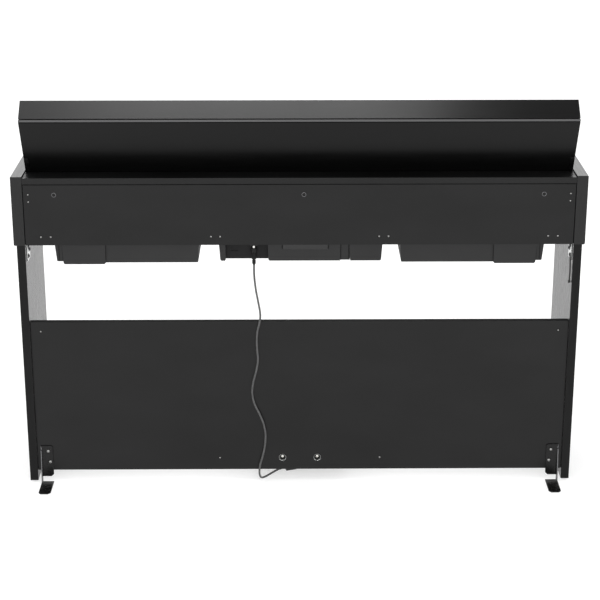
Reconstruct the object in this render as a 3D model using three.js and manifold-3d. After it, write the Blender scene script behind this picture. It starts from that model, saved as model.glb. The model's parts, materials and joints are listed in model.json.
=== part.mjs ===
// Slim 88-key digital piano on its stand, lid open, as separate named pieces.
// Units are millimetres. +X is the player's right, -Y is towards the player, +Z is up.
// The origin is on the floor, under the middle of the piano.
import * as THREE from 'three';
import * as BufferGeometryUtils from 'three/addons/utils/BufferGeometryUtils.js';
import Module from 'manifold-3d';

const wasm = await Module();
wasm.setup();

// ---- driving dimensions -------------------------------------------------------------------
const overallWidth = 1353;
const overallDepth = 309;
const closedHeight = 792;
const stabiliserReach = 65; // how far the rear feet stand out behind the piano
const gap = 0.3; // clearance between pieces that touch
const rearY = (overallDepth + stabiliserReach) / 2 - stabiliserReach;

const armThickness = 26.5;
const armBottom = 622;
const innerHalfWidth = overallWidth / 2 - armThickness;
const legThickness = 20;
const legDepth = 245;
const glideHeight = 4;

const boardThickness = 15;
const rearPanelBottom = 623;
const topBoardBottom = 774;
const topBoardTop = 788.5;
const topBoardDepth = 52;
const kickBoardBottom = 30;
const kickBoardTop = 425;
const kickBoardInset = 5;
const rebate = 1.8; // the shadow gap round the rear panel
const rebateDepth = 4;
const counterbore = { x: 43, height: 62, radius: 9, depth: 9 };

const keyBedBottom = 624;
const keyBedTop = 640;
const keyBedDepth = 300;

const hingeDepth = 83;
const hingeHeight = 772;
const lidOpenAngle = THREE.MathUtils.degToRad(114.5);
const lidHalfWidth = innerHalfWidth - 1.5;
const lidThickness = 12;
const pinRadius = 4;
const pinBoreDepth = 14;

const whiteKeyCount = 52;
const keyPitch = 23.5;
const keyGap = 1;
const keyTop = 733;
const keyHeight = 18;
const keyFrontDepth = 283;
const keyRearDepth = 45;
const keyBarDepth = 17;
const panelFrontDepth = 133;
const blackKeyRise = 12;
const blackKeyWidth = 10.5;
const blackKeyLength = 95;
const blackKeyBottom = 717;

const pedalSpacing = 65;
const pedalHeight = 50;
const pedalBox = { halfWidth: 125, rear: 20.3, front: 112, bottom: 24, top: 86, wall: 3 };

const plugX = 109.5;
const plugDepth = 28;
const cordDiameter = 5;

// The pedal lead's centreline, from the plug down to the gland: X, depth and height.
const cordRoute = [
  [109.5, 28, 563], [109.6, 27, 551], [109, 24.5, 533], [105.5, 18, 503], [99.5, 10, 472],
  [95.6, 4.5, 450], [95.2, 1.5, 436], [98, 0.9, 420], [102.3, 0.7, 401], [104, 0.6, 378],
  [103, 0.6, 350], [101.6, 0.6, 327], [106, 0.6, 298], [113.4, 0.6, 268], [116.3, 0.4, 240],
  [111.5, 0, 212], [99, -0.5, 183], [89.5, -1, 158], [84.8, -1.5, 130], [86.5, -2, 97],
  [93, -2.4, 66], [98.5, -2.8, 46], [100.4, -3, 30], [99.8, -1.8, 18], [97, 2.5, 9.2],
  [92, 9.5, 4.8], [84, 17.5, 4], [74, 25.5, 6.2], [63, 32.5, 9.6], [52, 38, 13.2],
  [41.5, 41.5, 16.6],
];

// ---- finishes -----------------------------------------------------------------------------
const finishes = {
  grainBlack: { color: 0x1d1d1d, roughness: 0.5, metalness: 0 },
  boardBlack: { color: 0x222222, roughness: 0.6, metalness: 0 },
  caseBlack: { color: 0x202020, roughness: 0.45, metalness: 0 },
  steelBlack: { color: 0x0c0c0c, roughness: 0.4, metalness: 0.6 },
  zinc: { color: 0xb8b8b4, roughness: 0.35, metalness: 1 },
  nickel: { color: 0xd0cfca, roughness: 0.2, metalness: 1 },
  brass: { color: 0xb08d45, roughness: 0.25, metalness: 1 },
  ivory: { color: 0xf0eee6, roughness: 0.35, metalness: 0 },
  ebony: { color: 0x101010, roughness: 0.45, metalness: 0 },
  rubber: { color: 0x111111, roughness: 0.8, metalness: 0 },
  circuit: { color: 0x1c5a33, roughness: 0.5, metalness: 0 },
  cone: { color: 0x17171a, roughness: 0.8, metalness: 0 },
  cordBlack: { color: 0x161616, roughness: 0.5, metalness: 0 },
};

const piano = new THREE.Group();

function addPiece(name, finish, geometry, parent = piano) {
  const mesh = new THREE.Mesh(geometry, new THREE.MeshStandardMaterial(finishes[finish]));
  mesh.name = name;
  parent.add(mesh);
  return mesh;
}

// ---- geometry helpers ---------------------------------------------------------------------
// A place is given as X, depth measured forward from the rear face, and height.
const yAt = (depth) => rearY - depth;

function block([x0, x1], [depth0, depth1], [z0, z1]) {
  const geometry = new THREE.BoxGeometry(x1 - x0, depth1 - depth0, z1 - z0);
  return geometry.translate((x0 + x1) / 2, yAt((depth0 + depth1) / 2), (z0 + z1) / 2);
}

function outline(points) {
  return new THREE.Shape(points.map(([a, b]) => new THREE.Vector2(a, b)));
}

function extruded(shape, depth) {
  return new THREE.ExtrudeGeometry(shape, { depth, bevelEnabled: false, curveSegments: 5 });
}

// An outline of local Y and Z, carried along X.
function alongX(shape, x0, x1) {
  const geometry = extruded(shape, x1 - x0);
  const turn = new THREE.Matrix4().makeBasis(
    new THREE.Vector3(0, 1, 0), new THREE.Vector3(0, 0, 1), new THREE.Vector3(1, 0, 0));
  return geometry.applyMatrix4(turn).translate(x0, 0, 0);
}

// An outline of depth and height, carried along X.
function sideProfile(points, x0, x1) {
  return alongX(outline(points.map(([depth, z]) => [yAt(depth), z])), x0, x1);
}

// An outline of X and height, carried forward from one depth to another.
function rearProfile(shape, depth0, depth1) {
  const geometry = extruded(shape, depth1 - depth0);
  return geometry.rotateX(Math.PI / 2).translate(0, yAt(depth0), 0);
}

// An outline of X and depth, carried up from one height to another.
function planProfile(points, z0, z1) {
  const shape = outline(points.map(([x, depth]) => [x, yAt(depth)]));
  const geometry = extruded(shape, z1 - z0);
  return geometry.translate(0, 0, z0);
}

// A turned piece on a vertical axis; the profile is radius and height, from axis to axis.
function turned(profile, x, depth, sides = 20) {
  const points = profile.map(([radius, z]) => new THREE.Vector2(radius, z));
  return new THREE.LatheGeometry(points, sides).rotateX(Math.PI / 2).translate(x, yAt(depth), 0);
}

function rod(radius, x0, x1, y, z, sides = 16) {
  const geometry = new THREE.CylinderGeometry(radius, radius, x1 - x0, sides);
  return geometry.rotateZ(Math.PI / 2).translate((x0 + x1) / 2, y, z);
}

function post(radius, x, depth, z0, z1, sides = 20) {
  const geometry = new THREE.CylinderGeometry(radius, radius, z1 - z0, sides);
  return geometry.rotateX(Math.PI / 2).translate(x, yAt(depth), (z0 + z1) / 2);
}

function toManifold(geometry) {
  const bare = geometry.clone();
  bare.deleteAttribute('normal');
  bare.deleteAttribute('uv');
  const merged = BufferGeometryUtils.mergeVertices(bare, 1e-4);
  return new wasm.Manifold(new wasm.Mesh({
    numProp: 3,
    vertProperties: new Float32Array(merged.attributes.position.array),
    triVerts: new Uint32Array(merged.index.array),
  }));
}

function fromManifold(solid) {
  const mesh = solid.getMesh();
  const geometry = new THREE.BufferGeometry();
  geometry.setAttribute('position', new THREE.BufferAttribute(new Float32Array(mesh.vertProperties), 3));
  geometry.setIndex(new THREE.BufferAttribute(new Uint32Array(mesh.triVerts), 1));
  geometry.computeVertexNormals();
  return geometry;
}

const join = (...shapes) => fromManifold(shapes.map(toManifold).reduce((a, b) => a.add(b)));
const common = (a, b) => fromManifold(toManifold(a).intersect(toManifold(b)));
const cut = (body, ...tools) => fromManifold(
  tools.map(toManifold).reduce((solid, tool) => solid.subtract(tool), toManifold(body)));

const mirrorX = ([a, b]) => [-b, -a];
const sides = [['left', -1], ['right', 1]];
const spanFor = (side, span) => (side > 0 ? span : mirrorX(span));

// ---- stand and cabinet --------------------------------------------------------------------
function makeLegs() {
  const outer = innerHalfWidth + legThickness;
  for (const [label, side] of sides) {
    const span = spanFor(side, [innerHalfWidth, outer]);
    addPiece(`leg_${label}`, 'grainBlack', block(span, [0, legDepth], [glideHeight, armBottom - gap]));
    const glideSpan = spanFor(side, [innerHalfWidth + 3, outer - 3]);
    addPiece(`leg_glide_${label}`, 'rubber', block(glideSpan, [8, legDepth - 8], [0, glideHeight - gap]));
  }
}

function makeSideArms() {
  const edge = 4;
  const frontTop = 14;
  const frontBottom = 34;
  const half = overallWidth / 2;
  for (const [label, side] of sides) {
    const section = new THREE.Shape();
    section.moveTo(side * innerHalfWidth, armBottom);
    section.lineTo(side * (half - edge), armBottom);
    section.quadraticCurveTo(side * half, armBottom, side * half, armBottom + edge);
    section.lineTo(side * half, closedHeight - 1);
    section.lineTo(side * (half - 1), closedHeight);
    section.lineTo(side * innerHalfWidth, closedHeight);
    const profile = new THREE.Shape();
    profile.moveTo(yAt(0), armBottom);
    profile.lineTo(yAt(0), closedHeight);
    profile.lineTo(yAt(overallDepth - frontTop), closedHeight);
    profile.quadraticCurveTo(yAt(overallDepth), closedHeight, yAt(overallDepth), closedHeight - frontTop);
    profile.lineTo(yAt(overallDepth), armBottom + frontBottom);
    profile.quadraticCurveTo(yAt(overallDepth), armBottom, yAt(overallDepth - frontBottom), armBottom);
    const solid = common(
      rearProfile(section, 0, overallDepth),
      alongX(profile, ...spanFor(side, [innerHalfWidth - 1, half + 1])));
    const boreSpan = spanFor(side, [innerHalfWidth - 1, innerHalfWidth + pinBoreDepth]);
    const bore = rod(pinRadius + gap, ...boreSpan, yAt(hingeDepth), hingeHeight);
    addPiece(`side_arm_${label}`, 'grainBlack', cut(solid, bore));
  }
}

function makeCabinetBoards() {
  const half = innerHalfWidth - gap;
  const panelTop = topBoardBottom - gap;
  const panel = join(
    block([-half, half], [rebateDepth, boardThickness], [rearPanelBottom, panelTop]),
    block([rebate - half, half - rebate], [0, rebateDepth + 1], [rearPanelBottom, panelTop - rebate]));
  addPiece('rear_panel', 'boardBlack', panel);
  const topHeights = [topBoardBottom, topBoardTop];
  addPiece('top_board', 'boardBlack', block([-half, half], [0, topBoardDepth], topHeights));

  // The pedal unit's screws sit at the bottom of two counterbores.
  const kickDepths = [kickBoardInset, kickBoardInset + boardThickness];
  const kick = block([-half, half], kickDepths, [kickBoardBottom, kickBoardTop]);
  const counterbores = [-1, 1].map((side) => {
    const { x, height, radius, depth } = counterbore;
    const hole = new THREE.CylinderGeometry(radius, radius, 2 * depth, 28);
    return hole.translate(side * x, yAt(kickBoardInset), height);
  });
  addPiece('kick_board', 'boardBlack', cut(kick, ...counterbores));
  const bedDepths = [boardThickness + gap, keyBedDepth];
  addPiece('key_bed', 'boardBlack', block([-half, half], bedDepths, [keyBedBottom, keyBedTop]));
  const slipDepths = [keyBedDepth + gap, overallDepth - 2];
  const slipTop = keyTop - 1;
  const slip = join(
    block([-half, half], slipDepths, [keyBedBottom, slipTop]),
    block([-half, half], [keyFrontDepth + 4, keyBedDepth + 2], [keyBedTop + gap, slipTop]));
  addPiece('key_slip', 'grainBlack', slip);
}

function makeCheekBlocks() {
  const inner = (whiteKeyCount * keyPitch) / 2 + 1;
  const lipClear = 262;
  const low = keyTop;
  const high = keyTop + 12;
  const profile = [
    [panelFrontDepth + gap, keyBedTop + gap], [panelFrontDepth + gap, high], [lipClear - 30, high],
    [lipClear, low], [keyFrontDepth, low], [keyFrontDepth, keyBedTop + gap],
  ];
  for (const [label, side] of sides) {
    const span = spanFor(side, [inner, innerHalfWidth - gap]);
    addPiece(`cheek_block_${label}`, 'grainBlack', sideProfile(profile, ...span));
  }
}

// ---- control panel and what is on it ------------------------------------------------------
const controlPanelRear = 50;
const controlPanelTop = 750;
const controlPanelThickness = 4;
const powerButton = { x: 575, depth: 105, radius: 6 };
const volumeSlider = { x: -560, depth: 105, travel: 22 };
const functionButtons = { first: -470, spacing: 26, depth: 105, count: 2, width: 16, length: 8 };

function buttonPocket(x, depth, width, length) {
  const below = [controlPanelTop - 10, controlPanelTop + 5];
  return block([x - width / 2, x + width / 2], [depth - length / 2, depth + length / 2], below);
}

function makeControlPanel() {
  const half = innerHalfWidth - gap;
  const plate = block([-half, half], [controlPanelRear, panelFrontDepth],
    [controlPanelTop - controlPanelThickness, controlPanelTop]);
  const pockets = [post(powerButton.radius + 0.4, powerButton.x, powerButton.depth,
    controlPanelTop - 12, controlPanelTop + 5)];
  pockets.push(buttonPocket(volumeSlider.x, volumeSlider.depth, 2 * volumeSlider.travel + 8, 3.4));
  for (let i = 0; i < functionButtons.count; i += 1) {
    const { first, spacing, depth, width, length } = functionButtons;
    pockets.push(buttonPocket(first + i * spacing, depth, width + 0.8, length + 0.8));
  }
  addPiece('control_panel', 'caseBlack', cut(plate, ...pockets));

  const buttonBottom = controlPanelTop - 2.5;
  const buttonTop = controlPanelTop + 2.6;
  addPiece('power_button', 'caseBlack',
    post(powerButton.radius, powerButton.x, powerButton.depth, buttonBottom, buttonTop));
  const knob = join(
    block([volumeSlider.x - 5, volumeSlider.x + 5], [volumeSlider.depth - 7, volumeSlider.depth + 7],
      [controlPanelTop + gap, controlPanelTop + 7]),
    block([volumeSlider.x - 2, volumeSlider.x + 2], [volumeSlider.depth - 1.2, volumeSlider.depth + 1.2],
      [controlPanelTop - 3.8, controlPanelTop + 1]));
  addPiece('volume_slider', 'caseBlack', knob);
  for (let i = 0; i < functionButtons.count; i += 1) {
    const x = functionButtons.first + i * functionButtons.spacing;
    const halfWidth = functionButtons.width / 2;
    const halfLength = functionButtons.length / 2;
    addPiece(`function_button_${i + 1}`, 'caseBlack', block([x - halfWidth, x + halfWidth],
      [functionButtons.depth - halfLength, functionButtons.depth + halfLength], [buttonBottom, buttonTop]));
  }
}

// ---- keyboard -----------------------------------------------------------------------------
// Black keys stand beside the white keys C, D, F, G and A, a little off the joint between them.
const blackAfterWhite = { 0: -2.5, 1: 2.5, 3: -3.5, 4: 0, 5: 3.5 };
const keyboardLeft = (-whiteKeyCount * keyPitch) / 2;
const firstWhiteInOctave = 5; // the lowest key is an A

function blackKeyAfter(white) {
  const offset = blackAfterWhite[(white + firstWhiteInOctave) % 7];
  if (offset === undefined || white < 0 || white >= whiteKeyCount - 1) return null;
  return keyboardLeft + (white + 1) * keyPitch + offset;
}

// One white key seen from above, narrowed at the back beside each black key.
function whiteKeyPlan(white) {
  const left = keyboardLeft + white * keyPitch + keyGap / 2;
  const right = left + keyPitch - keyGap;
  const clear = blackKeyWidth / 2 + 1;
  const shoulder = panelFrontDepth + blackKeyLength + 2;
  const before = blackKeyAfter(white - 1);
  const after = blackKeyAfter(white);
  const narrowLeft = before === null ? left : before + clear;
  const narrowRight = after === null ? right : after - clear;
  return [
    [left, keyFrontDepth], [left, shoulder], [narrowLeft, shoulder], [narrowLeft, keyRearDepth],
    [narrowRight, keyRearDepth], [narrowRight, shoulder], [right, shoulder], [right, keyFrontDepth],
  ];
}

// Points that repeat are dropped, so that an outline has no side of no length.
function tidyOutline(points) {
  return points.filter((point, i) => {
    const last = points[(i + points.length - 1) % points.length];
    return Math.hypot(point[0] - last[0], point[1] - last[1]) > 0.01;
  });
}

function makeKeys() {
  const groups = [[0, 9], [9, 16], [16, 23], [23, 30], [30, 37], [37, 44], [44, 52]];
  groups.forEach(([first, end], index) => {
    const whites = [];
    const blacks = [];
    const blackXs = [];
    for (let white = first; white < end; white += 1) {
      whites.push(planProfile(tidyOutline(whiteKeyPlan(white)), keyTop - keyHeight, keyTop));
      const x = blackKeyAfter(white);
      if (x !== null && white < end) blackXs.push(x);
    }
    const barLeft = keyboardLeft + first * keyPitch + keyGap;
    const barRight = keyboardLeft + end * keyPitch - keyGap;
    const barDepths = [keyRearDepth - 4, keyRearDepth + keyBarDepth];
    whites.push(block([barLeft, barRight], barDepths, [keyTop - keyHeight - 1, keyTop - 3]));
    addPiece(`white_keys_${index + 1}`, 'ivory', join(...whites));

    const blackTop = keyTop + blackKeyRise;
    const halfWidth = blackKeyWidth / 2;
    const slope = 6;
    for (const x of blackXs) {
      const front = panelFrontDepth + blackKeyLength;
      const profile = [
        [keyRearDepth + 25, blackKeyBottom], [keyRearDepth + 25, blackTop], [front - slope, blackTop],
        [front, keyTop + 2], [front, blackKeyBottom],
      ];
      blacks.push(sideProfile(profile, x - halfWidth, x + halfWidth));
    }
    const bar = [Math.min(...blackXs) - halfWidth, Math.max(...blackXs) + halfWidth];
    blacks.push(block(bar, [keyRearDepth + 23, keyRearDepth + 36], [keyTop + 3.5, blackTop]));
    addPiece(`black_keys_${index + 1}`, 'ebony', join(...blacks));
  });
}

function makeKeyFrame() {
  const half = (whiteKeyCount * keyPitch) / 2;
  const profile = [
    [38, keyBedTop + gap], [38, 706], [62, 706], [62, 655], [256, 655], [256, 692], [276, 692],
    [276, keyBedTop + gap],
  ];
  addPiece('key_frame', 'caseBlack', sideProfile(profile, -half, half));
}

// ---- casings under the key bed ------------------------------------------------------------
const caseRear = 22;
const caseFront = 262;
const caseWall = 3;
const boxStep = 5; // how far the deeper box stands out behind the tray
const boxDrop = 2.5; // and below it
const caseCorner = 3;
const trayFloor = 568;
const casingLean = Math.tan(THREE.MathUtils.degToRad(5));
const caseTop = keyBedBottom - gap;

// A tray outline in X and height, with tapered ends.
function speakerTray(inset) {
  const top = caseTop + (inset > 0 ? 1 : 0);
  const floor = trayFloor + inset;
  const shape = new THREE.Shape();
  const endFloor = floor + 3.5;
  shape.moveTo(240 + inset, top);
  shape.lineTo(243 + inset, floor + caseCorner);
  shape.quadraticCurveTo(243 + inset, floor, 243 + caseCorner + inset, floor);
  shape.lineTo(563 - inset, floor);
  shape.lineTo(565 - inset, endFloor);
  shape.lineTo(581 - caseCorner - inset, endFloor);
  shape.quadraticCurveTo(581 - inset, endFloor, 581 - inset, endFloor + caseCorner);
  shape.lineTo(585 - inset, top);
  return shape;
}

// The deeper box near the tray's outer end.
function speakerBox(inset) {
  const top = caseTop + (inset > 0 ? 1 : 0);
  const floor = trayFloor - boxDrop + inset;
  return outline([
    [463.5 + inset, top], [464.5 + inset, floor + caseCorner], [464.5 + caseCorner + inset, floor],
    [565 - caseCorner - inset, floor], [565 - inset, floor + caseCorner], [567 - inset, top],
  ]);
}

function mirroredShape(shape) {
  return outline(shape.getPoints(5).map((point) => [-point.x, point.y]));
}

// The moulded casings lean: the lower a point lies, the further forward it is.
function leaned(geometry) {
  const place = geometry.getAttribute('position');
  for (let i = 0; i < place.count; i += 1) {
    const below = Math.max(0, caseTop - place.getZ(i));
    place.setY(i, place.getY(i) - below * casingLean);
  }
  geometry.computeVertexNormals();
  return geometry;
}

// The flange along a casing's rear top edge.
function casingRim(x0, x1) {
  return block([x0, x1], [caseRear - 1.5, caseRear + 12], [caseTop - 6, caseTop]);
}

function makeSpeakerCases() {
  for (const [label, side] of sides) {
    const pick = (shape) => (side > 0 ? shape : mirroredShape(shape));
    const tray = rearProfile(pick(speakerTray(0)), caseRear + boxStep, caseFront);
    const box = rearProfile(pick(speakerBox(0)), caseRear, caseFront);
    const inTray = rearProfile(
      pick(speakerTray(caseWall)), caseRear + boxStep + caseWall, caseFront - caseWall);
    const inBox = rearProfile(pick(speakerBox(caseWall)), caseRear + caseWall, caseFront - caseWall);
    const slots = [];
    for (let i = 0; i < 7; i += 1) {
      const depth = 100 + i * 13;
      slots.push(block(spanFor(side, [310, 410]), [depth, depth + 4], [trayFloor - 7, trayFloor + 6]));
    }
    const shell = leaned(cut(join(tray, box), inTray, inBox, ...slots));
    const rim = casingRim(...spanFor(side, [240, 585]));
    addPiece(`speaker_case_${label}`, 'caseBlack', join(shell, rim));
    const speaker = [
      [0, 574], [50, 572], [60, 572], [60, 576], [42, 595], [36, 596], [36, 613], [0, 613],
    ];
    addPiece(`speaker_${label}`, 'cone', turned(speaker, side * 360, 140, 24));
  }
}

// The middle casing carries the sockets, in a recess between a rib and a larger block.
function makeSocketCase() {
  const recessFace = caseRear + 15;
  const floor = 573.5;
  const body = rearProfile(outline([
    [193, caseTop], [190, floor + 0.5], [-196, floor + 0.5], [-198, caseTop],
  ]), recessFace, caseFront);
  const lumps = [
    [
      [177, caseTop], [177, floor + caseCorner], [179, floor], [187, floor], [190, floor + caseCorner],
      [193, caseTop],
    ],
    [[-97, caseTop], [-97, floor], [75 - caseCorner, floor], [75, floor + caseCorner], [76, caseTop]],
    [[-198, caseTop], [-195, floor + caseCorner], [-195 + caseCorner, floor], [-121, floor], [-118, caseTop]],
  ];
  const bosses = lumps.map((points) => rearProfile(outline(points), caseRear, recessFace + 60));
  const groove = rearProfile(outline([
    [-122, caseTop], [-120, floor + 0.2], [-96, floor + 0.2], [-96, caseTop],
  ]), caseRear + 5, recessFace + 60);
  const inside = block(
    [-186, 184], [recessFace + caseWall, caseFront - caseWall], [floor + 3.5, caseTop + 1]);
  const throat = block(
    [-94, 68], [caseRear + caseWall, recessFace + 10], [floor + 3.5, caseTop + 1]);
  const socketFace = block([148, 166], [recessFace - 1, recessFace + 1.5], [594, 608]);
  const shell = leaned(cut(join(body, groove, ...bosses), inside, throat, socketFace));
  const rims = [casingRim(177, 193), casingRim(-198, 76)];
  addPiece('socket_case', 'caseBlack', join(shell, ...rims));
  addPiece('main_circuit_board', 'circuit', block([-170, 60], [60, 220], [590, 591.6]));
  addPiece('pedal_socket', 'steelBlack',
    block([plugX - 9, plugX + 9], [plugDepth - 7, recessFace - gap], [613, rearPanelBottom]));
}

// ---- lid ----------------------------------------------------------------------------------
// Outlines are drawn closed, as reach forward of the pivot and height above it.
function makeLid() {
  const lid = new THREE.Group();
  lid.position.set(0, yAt(hingeDepth), hingeHeight);
  lid.rotation.x = -lidOpenAngle;
  piano.add(lid);
  const profileX = (points, x0, x1) => alongX(outline(points.map(([reach, z]) => [-reach, z])), x0, x1);

  const outerFace = closedHeight - hingeHeight;
  const innerFace = outerFace - lidThickness;
  const tail = -16;
  const panelEnd = 176.6;
  const groove = 2; // beside the narrow strip at the fold
  addPiece('lid_panel', 'grainBlack', profileX([
    [tail, innerFace], [tail, outerFace - 4], [tail + 4, outerFace], [panelEnd, outerFace],
    [panelEnd, innerFace],
  ], -lidHalfWidth, lidHalfWidth), lid);

  const stripTop = [panelEnd + groove, outerFace];
  const stripFront = [182.6, 17];
  addPiece('lid_fold_strip', 'grainBlack', profileX([
    stripTop, stripFront, [stripTop[0], innerFace],
  ], -lidHalfWidth, lidHalfWidth), lid);

  const lipEnd = [201, -33];
  const lipThicknessAcross = 12.75;
  addPiece('lid_front', 'grainBlack', profileX([
    [stripFront[0] + 1.3, stripFront[1] - 2.5], lipEnd, [lipEnd[0] - lipThicknessAcross, lipEnd[1]],
    [panelEnd - 3, innerFace - gap], [stripTop[0] + 0.5, innerFace - gap],
  ], -lidHalfWidth, lidHalfWidth), lid);

  addPiece('music_ledge', 'grainBlack', profileX([
    [70, innerFace - gap], [84, innerFace - gap], [84, innerFace - 15], [80, innerFace - 18],
    [77, innerFace - 18], [77, innerFace - 8], [70, innerFace - 8],
  ], -330, 330), lid);

  // A steel cheek under each end of the lid carries the pivot pin.
  for (const [label, side] of sides) {
    const cheek = profileX([
      [-8, innerFace - 12], [8, innerFace - 12], [30, innerFace - gap], [-14, innerFace - gap],
    ], ...spanFor(side, [lidHalfWidth - 6, lidHalfWidth]));
    const pinSpan = spanFor(side, [lidHalfWidth - 5, innerHalfWidth + pinBoreDepth - 1]);
    const pin = rod(pinRadius, ...pinSpan, 0, 0);
    addPiece(`lid_pivot_${label}`, 'steelBlack', join(cheek, pin), lid);
  }
}

// ---- pedals -------------------------------------------------------------------------------
function makePedals() {
  const { halfWidth, rear, front, bottom, top, wall } = pedalBox;
  const slotHalf = 14;
  const shell = sideProfile([
    [rear, bottom], [rear, top], [front - 22, top], [front, top - 18], [front, bottom],
  ], -halfWidth, halfWidth);
  const hollow = sideProfile([
    [rear - 1, bottom + wall], [rear - 1, top - wall], [front - 24, top - wall],
    [front - wall, top - 21], [front - wall, bottom + wall],
  ], -halfWidth + wall, halfWidth - wall);
  const slots = [-1, 0, 1].map((i) => {
    const middle = i * pedalSpacing;
    return block([middle - slotHalf, middle + slotHalf], [front - 10, front + 5], [30, pedalHeight + 9]);
  });
  addPiece('pedal_box', 'boardBlack', cut(shell, hollow, ...slots));

  const labels = ['soft_pedal', 'sostenuto_pedal', 'damper_pedal'];
  labels.forEach((label, i) => {
    const x = (i - 1) * pedalSpacing;
    const stem = 10.5;
    const toe = 15;
    const outlinePoints = [
      [x - stem, 36], [x + stem, 36], [x + stem, 130], [x + toe, 150], [x + toe, 172],
      [x + toe * 0.7, 182], [x, 186], [x - toe * 0.7, 182], [x - toe, 172], [x - toe, 150], [x - stem, 130],
    ];
    addPiece(label, 'brass', planProfile(outlinePoints, pedalHeight - 4, pedalHeight + 4));
  });

  const foot = [[0, 0], [15, 0], [16, 2], [16, 9], [7, 10], [7, bottom - gap], [0, bottom - gap]];
  addPiece('pedal_adjuster', 'rubber', turned(foot, 0, 94));

  const glandBottom = 12;
  const glandTop = bottom - gap;
  const gland = new THREE.BoxGeometry(28, 24, glandTop - glandBottom);
  gland.rotateZ(THREE.MathUtils.degToRad(17)).translate(24, yAt(44), (glandTop + glandBottom) / 2);
  addPiece('cord_gland', 'caseBlack', gland);
}

function makeCord() {
  const relief = [
    [0, 563.5], [2.7, 563.5], [4.5, 567], [4.5, 574], [3.2, 576], [5.4, 577.5], [5.9, 592], [7.2, 597],
    [7.2, 604], [6.6, 606], [3.4, 606.3], [3.4, 612.7], [0, 612.7],
  ];
  addPiece('pedal_plug', 'caseBlack', turned(relief, plugX, plugDepth, 16));
  const curve = new THREE.CatmullRomCurve3(
    cordRoute.map(([x, depth, z]) => new THREE.Vector3(x, yAt(depth), z)), false, 'centripetal');
  const section = new THREE.Shape();
  section.absarc(0, 0, cordDiameter / 2, 0, 2 * Math.PI);
  const tube = new THREE.ExtrudeGeometry(section, { steps: 70, extrudePath: curve, curveSegments: 4 });
  addPiece('pedal_cord', 'cordBlack', tube);
}

// ---- brackets and small fittings ----------------------------------------------------------
function makeStabilisers() {
  const sheet = 2.5;
  const face = kickBoardInset - gap;
  const inner = 611;
  const outer = 641;
  const top = 97;
  const bottom = 14;
  for (const [label, side] of sides) {
    const plate = rearProfile(outline([
      [outer, top], [inner + 4, top], [inner, top - 4], [inner, bottom + 6], [inner + 6, bottom],
      [outer, bottom],
    ].map(([x, height]) => [side * x, height])), face - sheet, face);
    const fin = sideProfile([
      [face, top - 8], [-1, top - 11], [-9, 6], [-9, 0], [face, 0],
    ], ...spanFor(side, [outer - sheet, outer]));
    const foot = planProfile([
      [inner, -1], [outer, -1], [outer, -59], [outer - 5, -stabiliserReach],
      [inner + 6, -stabiliserReach], [inner, -58],
    ].map(([x, depth]) => [side * x, depth]), 0, sheet);
    addPiece(`stabiliser_${label}`, 'steelBlack', join(plate, fin, foot));
  }
}

function makeLegBrackets() {
  const sheet = 2;
  const depths = [boardThickness + 1, boardThickness + 35];
  for (const [label, side] of sides) {
    const inner = innerHalfWidth - gap;
    const upright = block(spanFor(side, [inner - sheet, inner]), depths, [577, caseTop]);
    const flange = block(spanFor(side, [inner - 34, inner]), depths, [caseTop - sheet, caseTop]);
    addPiece(`leg_bracket_${label}`, 'zinc', join(upright, flange));
  }
}

function makeHeadphoneBox() {
  const x = -614;
  const body = block([x - 22, x + 22], [242, 290], [598, caseTop]);
  const jacks = [-9, 9].map((dx) => {
    const hole = new THREE.CylinderGeometry(3.3, 3.3, 30, 14);
    return hole.translate(x + dx, yAt(288), 610);
  });
  addPiece('headphone_box', 'caseBlack', cut(body, ...jacks));
  const hook = sideProfile([
    [262, 585], [288, 585], [288, 593], [285, 593], [285, 588], [265, 588], [265, 597.7], [262, 597.7],
  ], x - 6, x + 6);
  addPiece('headphone_hanger', 'steelBlack', hook);
}

makeLegs();
makeSideArms();
makeCabinetBoards();
makeCheekBlocks();
makeControlPanel();
makeKeys();
makeKeyFrame();
makeSpeakerCases();
makeSocketCase();
makeLid();
makePedals();
makeCord();
makeStabilisers();
makeLegBrackets();
makeHeadphoneBox();

export default piano;
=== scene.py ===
"""The looks of a slim digital piano on its stand, seen from behind with its lid open.

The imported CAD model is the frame: every place below is worked out from its nodes.
Lengths are in metres. +X is the player's right, -Y is towards the player, +Z is up.
"""
import json
import math

import bmesh
import bpy
from mathutils import Matrix, Vector


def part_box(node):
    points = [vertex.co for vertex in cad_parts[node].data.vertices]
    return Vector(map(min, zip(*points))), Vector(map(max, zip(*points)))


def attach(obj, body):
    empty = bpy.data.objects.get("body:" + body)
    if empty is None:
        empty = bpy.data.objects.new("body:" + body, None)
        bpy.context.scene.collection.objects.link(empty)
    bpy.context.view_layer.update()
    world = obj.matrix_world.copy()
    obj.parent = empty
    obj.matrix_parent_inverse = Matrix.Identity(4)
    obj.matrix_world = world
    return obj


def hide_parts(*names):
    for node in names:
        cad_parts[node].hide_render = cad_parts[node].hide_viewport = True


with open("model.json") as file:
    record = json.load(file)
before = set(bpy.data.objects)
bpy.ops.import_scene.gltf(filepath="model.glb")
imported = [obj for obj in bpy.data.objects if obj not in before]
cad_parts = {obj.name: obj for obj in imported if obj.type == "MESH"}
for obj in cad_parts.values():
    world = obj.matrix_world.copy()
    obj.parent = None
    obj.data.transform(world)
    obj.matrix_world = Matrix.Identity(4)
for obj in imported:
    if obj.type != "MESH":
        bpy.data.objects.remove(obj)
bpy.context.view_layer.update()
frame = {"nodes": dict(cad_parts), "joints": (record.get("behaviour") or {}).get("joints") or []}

MM = 0.001
STAND = "stand"
LID = "lid"

# ---- places taken from the frame ----------------------------------------------------------
REAR_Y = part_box("side_arm_right")[1].y
PANEL_LOW, PANEL_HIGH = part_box("rear_panel")
KICK_LOW, KICK_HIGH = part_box("kick_board")
BACKWARD = Vector((0, 1, 0))


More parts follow.
